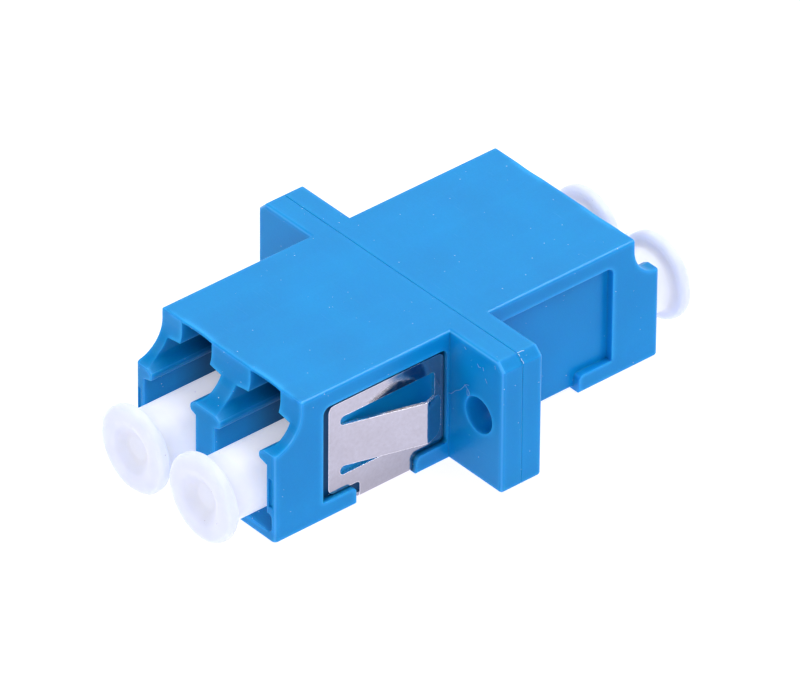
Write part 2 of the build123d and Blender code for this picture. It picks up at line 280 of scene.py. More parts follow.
def edge_highlight_share(tree, place):
    """How near a point of the housing is to an outer edge: the rounds marked in the mesh, and their sides.

    The value is the share of a painted highlight. Inner corners are left out, where the flange stands on the
    body and at the bottom of the clip's recess.
    The seam between the halves has no painted highlight on its sides, and its groove is painted less pale
    than an edge.
    """
    across, along, _ = add_node(tree, "ShaderNodeSeparateXYZ", {0: place}).outputs
    off_side = away_from(tree, across, BODY_WIDTH / 2, CORNER_REACH)
    off_flange = away_from(tree, along, FLANGE_HALF_THICKNESS, CORNER_REACH)
    off_corner = add_node(tree, "ShaderNodeMath", {0: off_side, 1: off_flange}, operation="MAXIMUM")
    off_recess = away_from(tree, across, BODY_WIDTH / 2 - RECESS_DEPTH, RECESS_REACH)
    off_both = add_node(
        tree, "ShaderNodeMath", {0: off_corner.outputs[0], 1: off_recess}, operation="MULTIPLY"
    )
    off_seam = away_from(tree, along, 0.0, SEAM_REACH)
    off_all = add_node(tree, "ShaderNodeMath", {0: off_both.outputs[0], 1: off_seam}, operation="MULTIPLY")
    beside = add_node(
        tree,
        "ShaderNodeMath",
        {0: edge_share(tree, EDGE_REACH, EDGE_TURN), 1: off_all.outputs[0]},
        operation="MULTIPLY",
    )
    seam_side = add_node(tree, "ShaderNodeMath", {0: along}, operation="ABSOLUTE")
    in_seam = add_node(
        tree, "ShaderNodeMath", {0: seam_side.outputs[0], 1: SEAM_HALF_WIDTH * MM}, operation="LESS_THAN"
    )
    seam = add_node(tree, "ShaderNodeMath", {0: in_seam.outputs[0], 1: SEAM_PAINTED_LIGHT_SHARE}, operation="MULTIPLY")
    crest = add_node(
        tree, "ShaderNodeMath", {0: crest_of_rounds(tree), 1: seam.outputs[0]}, operation="MAXIMUM"
    )
    softer = add_node(tree, "ShaderNodeMath", {0: crest.outputs[0], 1: CREST_HIGHLIGHT_SHARE}, operation="MULTIPLY")
    both = add_node(
        tree, "ShaderNodeMath", {0: beside.outputs[0], 1: softer.outputs[0]}, operation="ADD", use_clamp=True
    )
    return both.outputs[0]


def widest_part(tree, vector):
    """The largest of a vector's parts, by size: for a direction, 1 along an axis and less between two."""
    size = add_node(tree, "ShaderNodeVectorMath", {0: vector}, operation="ABSOLUTE")
    across, along, up = add_node(tree, "ShaderNodeSeparateXYZ", {0: size.outputs[0]}).outputs
    level = add_node(tree, "ShaderNodeMath", {0: across, 1: along}, operation="MAXIMUM")
    return add_node(tree, "ShaderNodeMath", {0: level.outputs[0], 1: up}, operation="MAXIMUM").outputs[0]


def crest_of_rounds(tree):
    """0 off the marked rounds and at their borders, 1 where they face midway between their two sides."""
    facing = add_node(tree, "ShaderNodeNewGeometry").outputs["Normal"]
    midway = add_node(
        tree,
        "ShaderNodeMapRange",
        {"Value": widest_part(tree, facing), "From Min": 1.0, "From Max": 0.75, "To Min": 0.0, "To Max": 1.0},
    )
    rounds = add_node(tree, "ShaderNodeAttribute", attribute_name=ROUND_MARK)
    crest = add_node(
        tree, "ShaderNodeMath", {0: midway.outputs[0], 1: rounds.outputs["Fac"]}, operation="MULTIPLY"
    )
    return crest.outputs[0]


def depth_in_ports(tree, place):
    """0 outside the housing and at the port mouths, rising to 1 a few millimetres inside: the share of
    painted shade.
    """
    size = add_node(tree, "ShaderNodeVectorMath", {0: place}, operation="ABSOLUTE")
    across, along, up = add_node(tree, "ShaderNodeSeparateXYZ", {0: size.outputs[0]}).outputs
    deep = add_node(
        tree,
        "ShaderNodeMapRange",
        {
            "Value": along,
            "From Min": (PORT_FRONT - PORT_SHADE_START) * MM,
            "From Max": (PORT_FRONT - PORT_SHADE_FULL) * MM,
        },
    )
    between = add_node(tree, "ShaderNodeMath", {0: across, 1: PORTS_HALF_WIDTH * MM}, operation="LESS_THAN")
    under = add_node(
        tree, "ShaderNodeMath", {0: up, 1: (PORTS_ROOF + ROOF_SLACK) * MM}, operation="LESS_THAN"
    )
    above = add_node(
        tree, "ShaderNodeMath", {0: up, 1: (PORTS_FLOOR - FLOOR_SLACK) * MM}, operation="GREATER_THAN"
    )
    share = deep.outputs[0]
    for other in (between, under, above):
        share = add_node(
            tree, "ShaderNodeMath", {0: share, 1: other.outputs[0]}, operation="MULTIPLY"
        ).outputs[0]
    return share


def depth_round_clip(tree, place):
    """How deep a point lies in the gap round the clip's wing, as the share of painted shade there: 0 near the
    housing's side, 1 at its floor.

    The wing's window is left out, since light reaches the recess's floor there.
    """
    across, along, up = add_node(tree, "ShaderNodeSeparateXYZ", {0: place}).outputs
    side = add_node(tree, "ShaderNodeMath", {0: across}, operation="ABSOLUTE")
    floor = BODY_WIDTH / 2 - RECESS_DEPTH
    deep = add_node(
        tree,
        "ShaderNodeMapRange",
        {
            "Value": side.outputs[0],
            "From Min": (floor + GAP_SHADE_START) * MM,
            "From Max": (floor + GAP_SHADE_FULL) * MM,
        },
    )
    not_port = add_node(
        tree, "ShaderNodeMath", {0: side.outputs[0], 1: (floor - SLACK) * MM}, operation="GREATER_THAN"
    )
    front = add_node(
        tree, "ShaderNodeMath", {0: along, 1: -FLANGE_HALF_THICKNESS * MM}, operation="LESS_THAN"
    )
    behind = add_node(
        tree, "ShaderNodeMath", {0: along, 1: -(RECESS_FRONT + SLACK) * MM}, operation="GREATER_THAN"
    )
    below = add_node(tree, "ShaderNodeMath", {0: up, 1: (RECESS_TOP + SLACK) * MM}, operation="LESS_THAN")
    above = add_node(tree, "ShaderNodeMath", {0: up, 1: SLACK * MM}, operation="GREATER_THAN")
    low, high = (Vector(c) for c in (BURR_LOW_CORNER, BURR_HIGH_CORNER))
    middle, reach = (low + high) / 2, (high - low) / 2
    off_middle = add_node(tree, "ShaderNodeVectorMath", {0: place, 1: middle * MM}, operation="SUBTRACT")
    size = add_node(tree, "ShaderNodeVectorMath", {0: off_middle.outputs[0]}, operation="ABSOLUTE")
    beyond = add_node(tree, "ShaderNodeVectorMath", {0: size.outputs[0], 1: reach * MM}, operation="SUBTRACT")
    _, beyond_along, beyond_up = add_node(tree, "ShaderNodeSeparateXYZ", {0: beyond.outputs[0]}).outputs
    outside = add_node(tree, "ShaderNodeMath", {0: beyond_along, 1: beyond_up}, operation="MAXIMUM")
    off_window = add_node(tree, "ShaderNodeMath", {0: outside.outputs[0], 1: 0.0}, operation="GREATER_THAN")
    share = deep.outputs[0]
    for other in (not_port, front, behind, below, above, off_window):
        share = add_node(
            tree, "ShaderNodeMath", {0: share, 1: other.outputs[0]}, operation="MULTIPLY"
        ).outputs[0]
    return share


def streaks(tree, place, turn, spacing, length):
    """Fine straight marks: a noise drawn out along one direction and cut off near its top."""
    laid = add_node(
        tree,
        "ShaderNodeMapping",
        {
            "Vector": place,
            "Rotation": tuple(math.radians(a) for a in turn),
            "Scale": (scale_of(length), scale_of(spacing), scale_of(spacing)),
        },
    )
    noise = add_node(tree, "ShaderNodeTexNoise", {"Vector": laid.outputs[0], "Scale": 1.0, "Detail": 1.0})
    mark = add_node(
        tree, "ShaderNodeMapRange", {"Value": noise.outputs["Fac"], "From Min": 0.72, "From Max": 0.8}
    )
    return mark.outputs[0]


def moulded_blue_plastic():
    """Injection-moulded PBT, coloured blue for single-mode fibre: a satin skin that light enters a bit.

    Flow marks a few millimetres wide vary its colour and gloss, and the fine grain of the mould its colour
    and relief. The grain is drawn at 0.11 mm, coarser than real, so that it shows. The gloss changes little,
    since steps in it would show as lines. Edges are painted paler, a painted highlight that stands in for
    light leaving them on both sides, and their rounds shine. Walls in the ports and in the gap round the clip
    are painted darker as painted shade, and handling has left a few pale scuffs.
    """
    material, tree = new_material("moulded_blue_plastic")
    place = add_node(tree, "ShaderNodeTexCoord").outputs["Object"]
    grain = add_node(tree, "ShaderNodeTexNoise", {"Vector": place, "Scale": scale_of(0.11), "Detail": 2.0})
    flow = add_node(tree, "ShaderNodeTexNoise", {"Vector": place, "Scale": scale_of(4.5), "Detail": 1.0})
    tone = add_node(
        tree,
        "ShaderNodeMix",
        {"Factor": 0.4, 2: flow.outputs["Fac"], 3: grain.outputs["Fac"]},
        data_type="FLOAT",
    )
    colour = add_node(tree, "ShaderNodeValToRGB", {"Fac": tone.outputs[0]})
    colour.color_ramp.elements[0].position = 0.1
    colour.color_ramp.elements[0].color = linear("#0086C2")
    colour.color_ramp.elements[1].position = 0.9
    colour.color_ramp.elements[1].color = linear("#0098D6")
    # Painted highlight: outer edges and rounds mixed towards a paler blue, the seam's groove less so
    painted_edge_highlight = add_node(
        tree,
        "ShaderNodeMix",
        {"Factor": edge_highlight_share(tree, place), 6: colour.outputs["Color"], 7: linear("#30AEEA")},
        data_type="RGBA",
    )
    # Painted shade: walls deep in the ports mixed towards a dark navy
    depth = add_node(
        tree, "ShaderNodeMath", {0: depth_in_ports(tree, place), 1: PORT_SHADE_SHARE}, operation="MULTIPLY"
    )
    painted_port_shade = add_node(
        tree,
        "ShaderNodeMix",
        {"Factor": depth.outputs[0], 6: painted_edge_highlight.outputs[2], 7: linear("#00436C")},
        data_type="RGBA",
    )
    # Painted shade: the walls of the gap round the clip mixed towards a darker navy
    gap = add_node(
        tree, "ShaderNodeMath", {0: depth_round_clip(tree, place), 1: GAP_SHADE_SHARE}, operation="MULTIPLY"
    )
    shaded = add_node(
        tree,
        "ShaderNodeMix",
        {"Factor": gap.outputs[0], 6: painted_port_shade.outputs[2], 7: linear("#002C54")},
        data_type="RGBA",
    )
    across = streaks(tree, place, turn=(20, 35, 12), spacing=0.05, length=2.2)
    along = streaks(tree, place, turn=(-10, 15, 80), spacing=0.06, length=1.6)
    both = add_node(tree, "ShaderNodeMath", {0: across, 1: along}, operation="ADD", use_clamp=True)
    share = add_node(tree, "ShaderNodeMath", {0: both.outputs[0], 1: SCUFF_SHARE}, operation="MULTIPLY")
    scuffed = add_node(
        tree,
        "ShaderNodeMix",
        {"Factor": share.outputs[0], 6: shaded.outputs[2], 7: linear("#8CC4F0")},
        data_type="RGBA",
    )
    gloss = add_node(
        tree, "ShaderNodeMapRange", {"Value": flow.outputs["Fac"], "To Min": 0.28, "To Max": 0.36}
    )
    sheen = add_node(
        tree, "ShaderNodeMapRange", {"Value": crest_of_rounds(tree), "To Min": 0.3, "To Max": 0.9}
    )
    soft_edges = add_node(tree, "ShaderNodeBevel", {"Radius": 0.1 * MM}, samples=8)
    relief = add_node(
        tree,
        "ShaderNodeBump",
        {
            "Height": grain.outputs["Fac"],
            "Strength": 0.15,
            "Distance": 0.01 * MM,
            "Normal": soft_edges.outputs[0],
        },
    )
    skin = add_node(
        tree,
        "ShaderNodeBsdfPrincipled",
        {
            "Base Color": scuffed.outputs[2],
            "Roughness": gloss.outputs[0],
            "IOR": 1.45,
            "Specular IOR Level": sheen.outputs[0],
            "Subsurface Weight": 0.5,
            "Subsurface Radius": (0.05, 0.5, 1.0),
            "Subsurface Scale": 0.35 * MM,
            "Normal": relief.outputs[0],
        },
    )
    finish_material(tree, skin)
    return material


def milky_polyethylene():
    """Natural LDPE, moulded: waxy, milky and translucent, so that its shadows fill with light.

    A faint glow stands in for light that is led along the moulding. It is strongest in the stem outside the
    port, and weaker in the disc and deep in the port.
    """
    material, tree = new_material("milky_polyethylene")
    place = add_node(tree, "ShaderNodeTexCoord").outputs["Object"]
    cloud = add_node(tree, "ShaderNodeTexNoise", {"Vector": place, "Scale": scale_of(1.6), "Detail": 2.0})
    colour = add_node(tree, "ShaderNodeValToRGB", {"Fac": cloud.outputs["Fac"]})
    colour.color_ramp.elements[0].position = 0.3
    colour.color_ramp.elements[0].color = linear("#ABB0BA")
    colour.color_ramp.elements[1].position = 0.7
    colour.color_ramp.elements[1].color = linear("#B3B8C2")
    relief = add_node(
        tree, "ShaderNodeBump", {"Height": cloud.outputs["Fac"], "Strength": 0.15, "Distance": 0.1 * MM}
    )
    along = add_node(tree, "ShaderNodeSeparateXYZ", {0: place}).outputs["Y"]
    depth = add_node(tree, "ShaderNodeMath", {0: along}, operation="ABSOLUTE")
    at_disc = add_node(
        tree,
        "ShaderNodeMapRange",
        {
            "Value": depth.outputs[0],
            "From Min": STEM_END * MM,
            "From Max": DISC_START * MM,
            "To Min": STEM_GLOW,
            "To Max": DISC_GLOW,
        },
    )
    in_port = add_node(
        tree,
        "ShaderNodeMapRange",
        {
            "Value": depth.outputs[0],
            "From Min": DEEP_IN_PORT * MM,
            "From Max": STEM_START * MM,
            "To Min": PORT_GLOW,
            "To Max": STEM_GLOW,
        },
    )
    glow = add_node(
        tree, "ShaderNodeMath", {0: at_disc.outputs[0], 1: in_port.outputs[0]}, operation="MINIMUM"
    )
    skin = add_node(
        tree,
        "ShaderNodeBsdfPrincipled",
        {
            "Base Color": colour.outputs["Color"],
            "Roughness": 0.42,
            "IOR": 1.51,
            "Specular IOR Level": 0.4,
            "Subsurface Weight": 1.0,
            "Subsurface Radius": (0.8, 1.0, 1.6),
            "Subsurface Scale": 1.2 * MM,
            "Emission Color": (0.93, 0.925, 1.0, 1.0),
            "Emission Strength": glow.outputs[0],
            "Normal": relief.outputs[0],
        },
    )
    finish_material(tree, skin)
    return material


def rolled_stainless_steel():
    """Spring stainless, cold rolled bright: nearly a mirror, clouded by rolling marks 0.25 mm apart.

    Its cut faces and sheared edges get a painted highlight, and the wings are drawn darker towards the bottom
    as painted shade.
    """
    material, tree = new_material("rolled_stainless_steel")
    place = add_node(tree, "ShaderNodeTexCoord").outputs["Object"]
    cloud = add_node(tree, "ShaderNodeTexNoise", {"Vector": place, "Scale": scale_of(0.25), "Detail": 3.0})
    gloss = add_node(
        tree,
        "ShaderNodeMapRange",
        {"Value": cloud.outputs["Fac"], "From Min": 0.3, "From Max": 0.7, "To Min": 0.1, "To Max": 0.18},
    )
    sheared = add_node(tree, "ShaderNodeBevel", {"Radius": 0.025 * MM}, samples=8)
    relief = add_node(
        tree,
        "ShaderNodeBump",
        {
            "Height": cloud.outputs["Fac"],
            "Strength": 0.5,
            "Distance": 0.007 * MM,
            "Normal": sheared.outputs[0],
        },
    )
    patch = add_node(tree, "ShaderNodeTexNoise", {"Vector": place, "Scale": scale_of(2.5), "Detail": 1.0})
    tone = add_node(
        tree,
        "ShaderNodeMix",
        {"Factor": 0.5, 2: patch.outputs["Fac"], 3: cloud.outputs["Fac"]},
        data_type="FLOAT",
    )
    colour = add_node(tree, "ShaderNodeValToRGB", {"Fac": tone.outputs[0]})
    colour.color_ramp.elements[0].position = 0.35
    colour.color_ramp.elements[0].color = linear("#BBB8BD")
    colour.color_ramp.elements[1].position = 0.65
    colour.color_ramp.elements[1].color = linear("#C3C1C7")
    up = add_node(tree, "ShaderNodeSeparateXYZ", {0: place}).outputs["Z"]
    # Painted shade: the wings drawn darker towards the bottom
    low_shade = add_node(
        tree,
        "ShaderNodeMapRange",
        {
            "Value": up,
            "From Min": LOW_SHADE_BOTTOM * MM,
            "From Max": LOW_SHADE_TOP * MM,
            "To Min": LOW_SHADE_SHARE,
            "To Max": 0.0,
        },
    )
    shaded_low_down = add_node(
        tree,
        "ShaderNodeMix",
        {"Factor": low_shade.outputs[0], 6: colour.outputs["Color"], 7: linear("#908E92")},
        data_type="RGBA",
    )
    facing = add_node(tree, "ShaderNodeNewGeometry").outputs["Normal"]
    in_wing = add_node(tree, "ShaderNodeVectorMath", {0: facing, 1: (0.0, 1.0, 1.0)}, operation="MULTIPLY")
    off_wing = add_node(
        tree,
        "ShaderNodeMath",
        {0: widest_part(tree, in_wing.outputs[0]), 1: CUT_FACING},
        operation="GREATER_THAN",
    )
    over_strap = add_node(tree, "ShaderNodeMath", {0: up, 1: STRAP_TOP * MM}, operation="GREATER_THAN")
    cut = add_node(
        tree, "ShaderNodeMath", {0: off_wing.outputs[0], 1: over_strap.outputs[0]}, operation="MULTIPLY"
    )
    # Painted highlight: cut faces over the strap and sheared edges mixed towards near white
    painted_highlight_share = add_node(
        tree, "ShaderNodeMath", {0: cut.outputs[0], 1: edge_share(tree, 0.1, 0.85)}, operation="MAXIMUM"
    )
    painted_highlight = add_node(
        tree,
        "ShaderNodeMix",
        {"Factor": painted_highlight_share.outputs[0], 6: shaded_low_down.outputs[2], 7: linear("#FCFAFA")},
        data_type="RGBA",
    )
    steel = add_node(
        tree,
        "ShaderNodeBsdfPrincipled",
        {
            "Base Color": painted_highlight.outputs[2],
            "Metallic": 1.0,
            "Roughness": gloss.outputs[0],
            "Normal": relief.outputs[0],
        },
    )
    finish_material(tree, steel)
    return material


def torn_steel():
    """The burr that shearing leaves on the sheet's edges: the same steel, torn rough and partly oxidised."""
    material, tree = new_material("torn_steel_burr")
    place = add_node(tree, "ShaderNodeTexCoord").outputs["Object"]
    tear = add_node(tree, "ShaderNodeTexNoise", {"Vector": place, "Scale": scale_of(0.3), "Detail": 2.0})
    colour = add_node(tree, "ShaderNodeValToRGB", {"Fac": tear.outputs["Fac"]})
    colour.color_ramp.elements[0].position = 0.4
    colour.color_ramp.elements[0].color = linear("#5A5048")
    colour.color_ramp.elements[1].position = 0.6
    colour.color_ramp.elements[1].color = linear("#F2EEE8")
    burr = add_node(
        tree,
        "ShaderNodeBsdfPrincipled",
        {"Base Color": colour.outputs["Color"], "Metallic": 0.8, "Roughness": 0.45},
    )
    finish_material(tree, burr)
    return material


def loose_bits(name, hex_colour, share):
    """Plastic dust, torn flash, lint or burnt specks: matt, and so thin that the ground shows through."""
    material, tree = new_material(name)
    powder = add_node(
        tree, "ShaderNodeBsdfPrincipled", {"Base Color": linear(hex_colour), "Roughness": 0.8, "Alpha": share}
    )
    finish_material(tree, powder)
    return material


def ground_zirconia():
    """Zirconia ceramic, ground: dense, cream white and glossy, with a very fine grind."""
    material, tree = new_material("ground_zirconia")
    place = add_node(tree, "ShaderNodeTexCoord").outputs["Object"]
    grind = add_node(tree, "ShaderNodeTexNoise", {"Vector": place, "Scale": scale_of(0.05), "Detail": 1.0})
    gloss = add_node(
        tree, "ShaderNodeMapRange", {"Value": grind.outputs["Fac"], "To Min": 0.18, "To Max": 0.26}
    )
    ceramic = add_node(
        tree,
        "ShaderNodeBsdfPrincipled",
        {"Base Color": linear("#F3EEE2"), "Roughness": gloss.outputs[0], "IOR": 2.1},
    )
    finish_material(tree, ceramic)
    return material


def new_geometry_tree(name, source, inputs, result):
    """An empty Geometry Nodes tree from one geometry to another; inputs gives the kind of each input."""
    tree = bpy.data.node_groups.new(name, "GeometryNodeTree")
    for socket, kind in {source: "Geometry", **inputs, "Seed": "Int", "Material": "Material"}.items():
        tree.interface.new_socket(socket, in_out="INPUT", socket_type=f"NodeSocket{kind}")
    tree.interface.new_socket(result, in_out="OUTPUT", socket_type="NodeSocketGeometry")
    return tree


def finish_geometry_tree(tree, geometry, material):
    """Ends a tree: instances made real, in their material."""
    real = add_node(tree, "GeometryNodeRealizeInstances", {0: geometry.outputs[0]})
    dressed = add_node(tree, "GeometryNodeSetMaterial", {"Geometry": real.outputs[0], "Material": material})
    add_node(tree, "NodeGroupOutput", {0: dressed.outputs[0]})
    return tree


def lathe_tree():
    """Geometry Nodes: turns the object's own profile curve about its Z axis.

    The profile lies in XZ, with the radius along X. Each point's radius is the round at that corner.
    """
    inputs = {
        "Steps Around": "Int",
        "Steps In A Round": "Int",
        "Rim Waver": "Float",
        "Waver From Radius": "Float",
        "Rim Radius": "Float",
    }
    tree = new_geometry_tree("lathe", "Profile", inputs, "Turned Piece")
    given = add_node(tree, "NodeGroupInput").outputs
    corner_round = add_node(tree, "GeometryNodeInputRadius")
    rounded = add_node(
        tree,
        "GeometryNodeFilletCurve",
        {
            "Curve": given["Profile"],
            "Count": given["Steps In A Round"],
            "Radius": corner_round.outputs[0],
            "Limit Radius": True,
        },
        mode="POLY",
    )
    points = add_node(tree, "GeometryNodeAttributeDomainSize", {0: rounded.outputs[0]}, component="CURVE")
    columns = add_node(tree, "ShaderNodeMath", {0: given["Steps Around"], 1: 1.0}, operation="ADD")
    grid = add_node(
        tree,
        "GeometryNodeMeshGrid",
        {
            "Size X": 1.0,
            "Size Y": 1.0,
            "Vertices X": columns.outputs[0],
            "Vertices Y": points.outputs["Point Count"],
        },
    )
    on_grid = add_node(tree, "GeometryNodeInputPosition").outputs[0]
    where = add_node(tree, "ShaderNodeSeparateXYZ", {0: on_grid})
    share_along = add_node(tree, "ShaderNodeMath", {0: where.outputs["Y"], 1: 0.5}, operation="ADD")
    last = add_node(
        tree, "ShaderNodeMath", {0: points.outputs["Point Count"], 1: 1.0}, operation="SUBTRACT"
    )
    row = add_node(
        tree, "ShaderNodeMath", {0: share_along.outputs[0], 1: last.outputs[0]}, operation="MULTIPLY"
    )
    whole_row = add_node(tree, "ShaderNodeMath", {0: row.outputs[0]}, operation="ROUND")
    sample = add_node(
        tree,
        "GeometryNodeSampleIndex",
        {
            "Geometry": rounded.outputs[0],
            "Value": add_node(tree, "GeometryNodeInputPosition").outputs[0],
            "Index": whole_row.outputs[0],
        },
        data_type="FLOAT_VECTOR",
        domain="POINT",
    )
    angle = add_node(tree, "ShaderNodeMath", {0: where.outputs["X"], 1: 2 * math.pi}, operation="MULTIPLY")
    turned = add_node(
        tree,
        "ShaderNodeVectorRotate",
        {"Vector": sample.outputs[0], "Angle": angle.outputs[0]},
        rotation_type="Z_AXIS",
    )
    shaped = add_node(
        tree, "GeometryNodeSetPosition", {"Geometry": grid.outputs[0], "Position": turned.outputs[0]}
    )
    closed = add_node(
        tree, "GeometryNodeMergeByDistance", {"Geometry": shaped.outputs[0], "Distance": SAME_POINT * MM}
    )
    # A slow noise moves the rim in and out, and leaves what is nearer the axis alone
    here = add_node(tree, "GeometryNodeInputPosition").outputs[0]
    flat = add_node(tree, "ShaderNodeVectorMath", {0: here, 1: (1.0, 1.0, 0.0)}, operation="MULTIPLY")
    radius = add_node(tree, "ShaderNodeVectorMath", {0: flat.outputs[0]}, operation="LENGTH")
    outside = add_node(
        tree,
        "ShaderNodeMapRange",
        {
            "Value": radius.outputs["Value"],
            "From Min": given["Waver From Radius"],
            "From Max": given["Rim Radius"],
            "To Max": given["Rim Waver"],
        },
    )
    uneven = add_node(
        tree,
        "ShaderNodeTexNoise",
        {"Vector": here, "W": given["Seed"], "Scale": scale_of(CAP_WAVER_SPACING), "Detail": 1.0},
        noise_dimensions="4D",
    )
    both_ways = add_node(
        tree, "ShaderNodeVectorMath", {0: uneven.outputs["Color"], 1: (0.5, 0.5, 0.5)}, operation="SUBTRACT"
    )
    shift = add_node(
        tree,
        "ShaderNodeVectorMath",
        {0: both_ways.outputs[0], "Scale": outside.outputs[0]},
        operation="SCALE",
    )
    wavered = add_node(
        tree, "GeometryNodeSetPosition", {"Geometry": closed.outputs[0], "Offset": shift.outputs[0]}
    )
    return finish_geometry_tree(tree, wavered, given["Material"])


def made_by_nodes(name, source, tree, values):
    """Runs a Geometry Nodes tree on an object and returns the result as a plain mesh object of that name."""
    modifier = source.modifiers.new("rule", "NODES")
    modifier.node_group = tree
    sockets = {s.name: s.identifier for s in tree.interface.items_tree if s.item_type == "SOCKET"}
    for socket, value in values.items():
        modifier[sockets[socket]] = value
    graph = bpy.context.evaluated_depsgraph_get()
    mesh = bpy.data.meshes.new_from_object(source.evaluated_get(graph), depsgraph=graph)
    source.modifiers.remove(modifier)
    bpy.data.objects.remove(source)
    piece = bpy.data.objects.new(name, mesh)
    bpy.context.scene.collection.objects.link(piece)
    return piece


def shade(piece, sharp_over):
    """Shades the faces smooth, apart from edges that turn by more than that many degrees."""
    piece.data.polygons.foreach_set("use_smooth", [True] * len(piece.data.polygons))
    piece.data.set_sharp_from_angle(angle=math.radians(sharp_over))


def curve_through(name, kind, paths):
    """A curve object with a spline of one kind through the points of each path, in millimetres."""
    curve = bpy.data.curves.new(name, "CURVE")
    curve.dimensions = "3D"
    for path in paths:
        spline = curve.splines.new(kind)
        spline.points.add(len(path) - 1)
        for point, place in zip(spline.points, path):
            point.co = (*[part * MM for part in place], 1)
    holder = bpy.data.objects.new(name, curve)
    bpy.context.scene.collection.objects.link(holder)
    return holder


def profile_curve(name, corners):
    """A profile in XZ through (radius, height, round) corners, in millimetres."""
    holder = curve_through(name, "POLY", [[(radius, 0, height) for radius, height, _ in corners]])
    for point, (_, _, corner_round) in zip(holder.data.splines[0].points, corners):
        point.radius = corner_round * MM
    return holder


def dust_cap(side, end, tree, material):
    """One dust cap: a hollow stem, a round neck and a dished disc, with the gate's stub on its rim."""
    node = f"dust_cap_{end}_{side}"
    facing = -1 if end == "front" else 1
    low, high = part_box(node)
    outer = (abs(low.y) if facing < 0 else high.y) / MM
    length = outer - CAP_INNER_END
    corners = [
        (0, CAP_BORE_DEPTH, 0),
        (CAP_BORE_RADIUS, CAP_BORE_DEPTH, 0),
        (CAP_BORE_RADIUS, 0, 0),
        (CAP_STEM_RADIUS - CAP_STEM_LEAD, 0, 0),
        (CAP_STEM_RADIUS, CAP_STEM_LEAD, 0),
        (CAP_STEM_RADIUS, length - CAP_DISC_THICKNESS, CAP_NECK_ROUND),
        (CAP_DISC_RADIUS, length - CAP_DISC_THICKNESS, CAP_RIM_ROUND),
        (CAP_DISC_RADIUS, length, CAP_RIM_ROUND),
        (CAP_DIMPLE_RADIUS, length, CAP_DIMPLE_ROUND),
        (CAP_DIMPLE_FLOOR_RADIUS, length - CAP_DIMPLE_DEPTH, CAP_DIMPLE_ROUND),
        (0, length - CAP_DIMPLE_DEPTH, 0),
    ]
    profile = profile_curve(f"profile_{node}", corners)
    piece = made_by_nodes(
        f"{node}_moulding",
        profile,
        tree,
        {
            "Steps Around": 128,
            "Steps In A Round": 8,
            "Rim Waver": CAP_RIM_WAVER * MM,
            "Waver From Radius": CAP_STEM_RADIUS * MM,
            "Rim Radius": CAP_DISC_RADIUS * MM,
            "Seed": CAP_TURNS[f"{end}_{side}"],
            "Material": material,
        },
    )
    add_gate(piece, length)
    across = PORT_PITCH / 2 if side == "right" else -PORT_PITCH / 2
    turn = Matrix.Rotation(math.radians(CAP_TURNS[f"{end}_{side}"]), 4, "Z")
    lay = Matrix.Rotation(math.radians(-90 * facing), 4, "X")
    stand = Matrix.Translation(Vector((across, facing * CAP_INNER_END, AXIS_HEIGHT)) * MM)
    piece.data.transform(stand @ lay @ turn)
    piece.data.materials.clear()
    piece.data.materials.append(material)
    shade(piece, sharp_over=50)
    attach(piece, f"cap_{end}_{side}")
    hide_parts(node)
    return piece


def add_gate(piece, length):
    """The broken-off gate: a low rounded stub on the rim, narrower outwards and torn lower on one side."""
    shell = bmesh.new()
    bmesh.ops.create_cube(shell, size=1.0)
    for vertex in shell.verts:
        vertex.co.x *= 2 * CAP_GATE_REACH
        vertex.co.y *= CAP_GATE_WIDTH
        vertex.co.z *= CAP_GATE_THICKNESS
        if vertex.co.x > 0:
            vertex.co.x *= CAP_GATE_TORN_SIDE if vertex.co.y > 0 else 1.0
            vertex.co.y *= CAP_GATE_TAPER
    bmesh.ops.bevel(
        shell, geom=shell.edges[:], offset=CAP_GATE_ROUND, segments=3, profile=0.5, affect="EDGES"
    )
    shell.transform(Matrix.Diagonal((MM, MM, MM, 1)))
    shell.transform(
        Matrix.Translation(Vector((CAP_DISC_RADIUS, 0, length - CAP_DISC_THICKNESS / 2)) * MM)
    )
    shell.from_mesh(piece.data)
    shell.to_mesh(piece.data)
    shell.free()


def random_value(tree, low, high, seed, step):
    """A random value per element; step keeps the values of one tree apart."""
    own_seed = add_node(tree, "ShaderNodeMath", {0: seed, 1: float(step)}, operation="ADD")
    value = add_node(
        tree, "FunctionNodeRandomValue", {2: low, 3: high, "Seed": own_seed.outputs[0]}, data_type="FLOAT"
    )
    return value.outputs[1]


